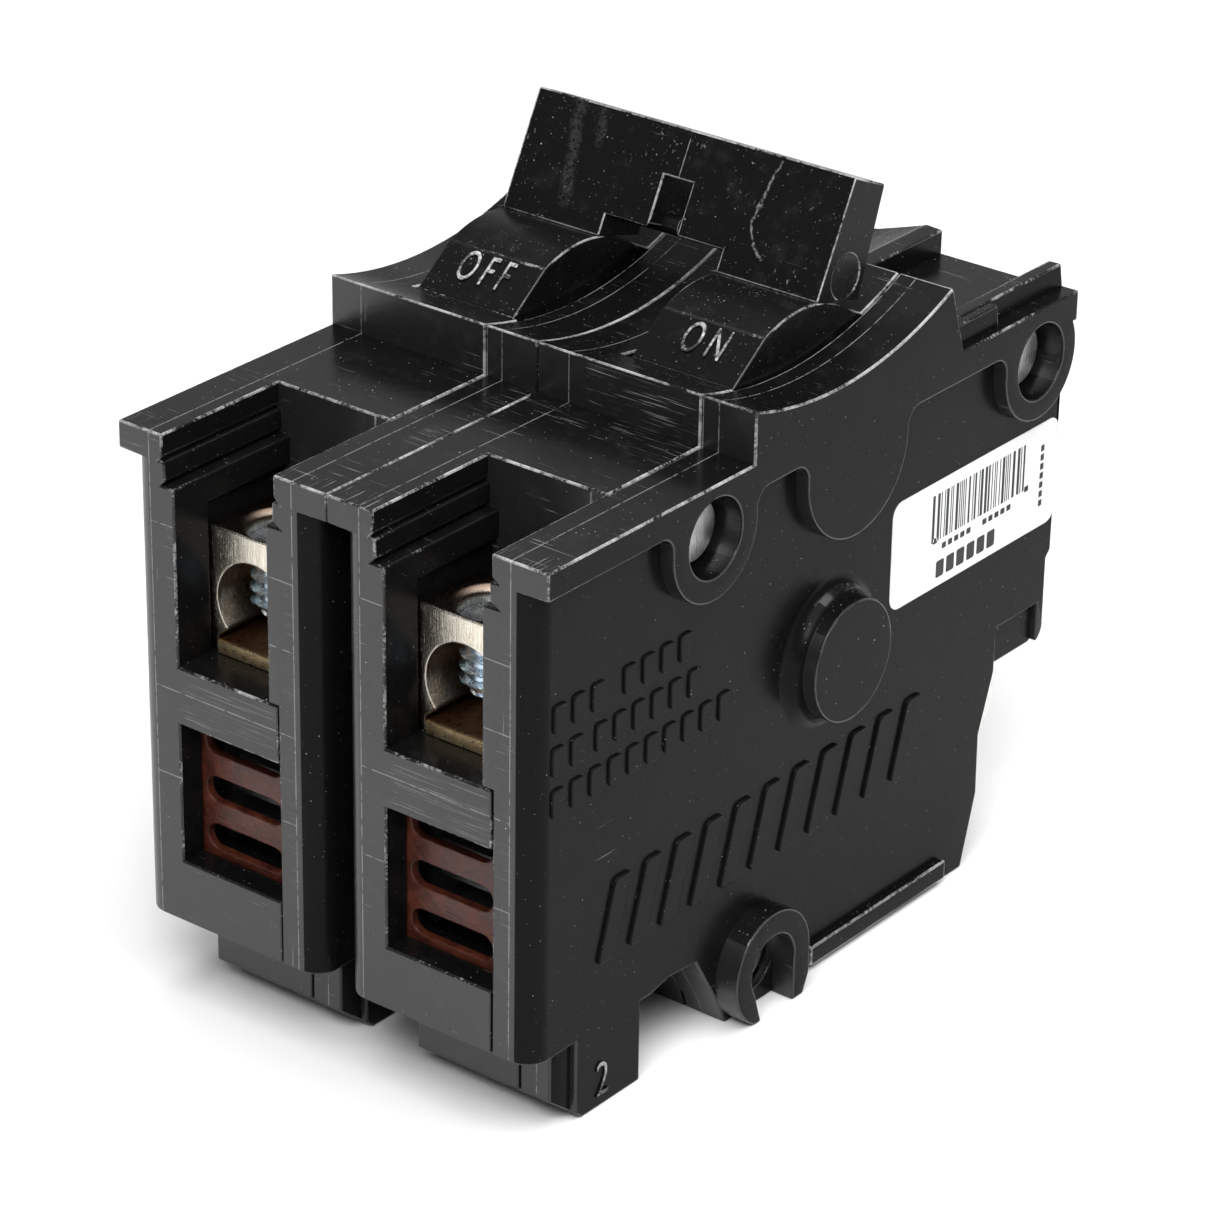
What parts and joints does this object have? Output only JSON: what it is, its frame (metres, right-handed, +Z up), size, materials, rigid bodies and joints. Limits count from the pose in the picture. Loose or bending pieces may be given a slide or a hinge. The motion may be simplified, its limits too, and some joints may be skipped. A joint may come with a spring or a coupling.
{
  "type": "circuit breaker",
  "caption": "Two-pole plug-in circuit breaker with black moulded cases, a common tied handle, wire clamp lugs at the front and line stabs under the rear.",
  "frame": {"origin": "centre of the overall box on the resting plane of the feet", "axes": "+Z up, -Y towards the wire terminals, +Y towards the line stabs, +X towards the labelled side"},
  "size_m": [0.0524, 0.0826, 0.0781],
  "materials": {
    "moulded_black": "semi-gloss black thermoset moulding, worn edges",
    "handle_black": "semi-gloss black moulding, worn edges",
    "trip_plastic": "natural glass-filled nylon",
    "plated_lug": "brushed tin-plated aluminium",
    "zinc_screw": "blue zinc plate",
    "copper": "plain copper alloy strip",
    "braid_copper": "flexible copper braid",
    "bimetal_steel": "rolled bimetal",
    "magnet_steel": "plated sheet steel",
    "pin_steel": "ground pin",
    "rivet_steel": "zinc-plated rivet",
    "spring_wire": "music wire",
    "contact_silver": "silver alloy contact",
    "plated_stab": "bright tin-plated copper",
    "fibre_sheet": "grey vulcanised fibre",
    "fibre_red": "red-brown vulcanised fibre",
    "label_white": "printed white film"
  },
  "bodies": {
    "case": {"case_rivets": "rivet_steel", "left_arc_chute_sides": "fibre_sheet", "left_arc_splitters": "magnet_steel", "left_arm_pin": "pin_steel", "left_armature_pin": "pin_steel", "left_bimetal": "bimetal_steel", "left_case_base": "moulded_black", "left_case_cover": "moulded_black", "left_cradle_pin": "pin_steel", "left_fixed_contact": "contact_silver", "left_line_stab": "plated_stab", "left_line_strip": "copper", "left_load_strip": "copper", "left_lug_body": "plated_lug", "left_magnet_yoke": "magnet_steel", "left_vent_plate": "fibre_red", "right_arc_chute_sides": "fibre_sheet", "right_arc_splitters": "magnet_steel", "right_arm_pin": "pin_steel", "right_armature_pin": "pin_steel", "right_bimetal": "bimetal_steel", "right_case_base": "moulded_black", "right_case_cover": "moulded_black", "right_cradle_pin": "pin_steel", "right_fixed_contact": "contact_silver", "right_line_stab": "plated_stab", "right_line_strip": "copper", "right_load_strip": "copper", "right_lug_body": "plated_lug", "right_magnet_yoke": "magnet_steel", "right_vent_plate": "fibre_red", "side_label": "label_white"},
    "handle": {"handle": "handle_black", "handle_tie_pin": "handle_black"},
    "trip_bar": {"trip_bar": "trip_plastic"},
    "left_contact_arm": {"left_contact_arm": "copper", "left_moving_contact": "contact_silver", "left_toggle_spring": "spring_wire", "left_braid": "braid_copper"},
    "left_cradle": {"left_cradle": "magnet_steel"},
    "left_armature": {"left_armature": "magnet_steel"},
    "left_lug_screw": {"left_lug_screw": "zinc_screw"},
    "right_contact_arm": {"right_contact_arm": "copper", "right_moving_contact": "contact_silver", "right_toggle_spring": "spring_wire", "right_braid": "braid_copper"},
    "right_cradle": {"right_cradle": "magnet_steel"},
    "right_armature": {"right_armature": "magnet_steel"},
    "right_lug_screw": {"right_lug_screw": "zinc_screw"}
  },
  "joints": [
    {"name": "handle_throw", "type": "hinge", "parent": "case", "child": "handle", "pos_m": [-0.0008, 0.00375, 0.054], "axis": [1, 0, 0], "range_deg": [0, 50]},
    {"name": "trip_bar_turn", "type": "hinge", "parent": "case", "child": "trip_bar", "pos_m": [-0.0008, -0.02085, 0.048], "axis": [1, 0, 0], "range_deg": [0, 7.5], "stiffness_Nm_per_rad": 0.01},
    {"name": "left_arm_swing", "type": "hinge", "parent": "case", "child": "left_contact_arm", "pos_m": [-0.0135, 0.00575, 0.032], "axis": [1, 0, 0], "range_deg": [-17, 0], "deforming": ["left_toggle_spring", "left_braid"]},
    {"name": "left_armature_swing", "type": "hinge", "parent": "case", "child": "left_armature", "pos_m": [-0.0138, -0.01225, 0.0514], "axis": [1, 0, 0], "range_deg": [-7.5, 0]},
    {"name": "left_cradle_drop", "type": "hinge", "parent": "case", "child": "left_cradle", "pos_m": [-0.011, 0.02275, 0.038], "axis": [1, 0, 0], "range_deg": [0, 6]},
    {"name": "left_lug_screw_feed", "type": "slide", "parent": "case", "child": "left_lug_screw", "axis": [0, 0, 1], "range_m": [-0.0017, 0.0064]},
    {"name": "right_arm_swing", "type": "hinge", "parent": "case", "child": "right_contact_arm", "pos_m": [0.0119, 0.00575, 0.032], "axis": [1, 0, 0], "range_deg": [-17, 0], "deforming": ["right_toggle_spring", "right_braid"]},
    {"name": "right_armature_swing", "type": "hinge", "parent": "case", "child": "right_armature", "pos_m": [0.0116, -0.01225, 0.0514], "axis": [1, 0, 0], "range_deg": [-7.5, 0]},
    {"name": "right_cradle_drop", "type": "hinge", "parent": "case", "child": "right_cradle", "pos_m": [0.0144, 0.02275, 0.038], "axis": [1, 0, 0], "range_deg": [0, 6]},
    {"name": "right_lug_screw_feed", "type": "slide", "parent": "case", "child": "right_lug_screw", "axis": [0, 0, 1], "range_m": [-0.0017, 0.0064]}
  ],
  "couplings": [
    {"joint": "left_arm_swing", "follows": "handle_throw", "ratio": -0.34},
    {"joint": "left_armature_swing", "follows": "trip_bar_turn", "ratio": -1},
    {"joint": "left_cradle_drop", "follows": "trip_bar_turn", "ratio": 0.8},
    {"joint": "right_arm_swing", "follows": "handle_throw", "ratio": -0.34},
    {"joint": "right_armature_swing", "follows": "trip_bar_turn", "ratio": -1},
    {"joint": "right_cradle_drop", "follows": "trip_bar_turn", "ratio": 0.8}
  ]
}
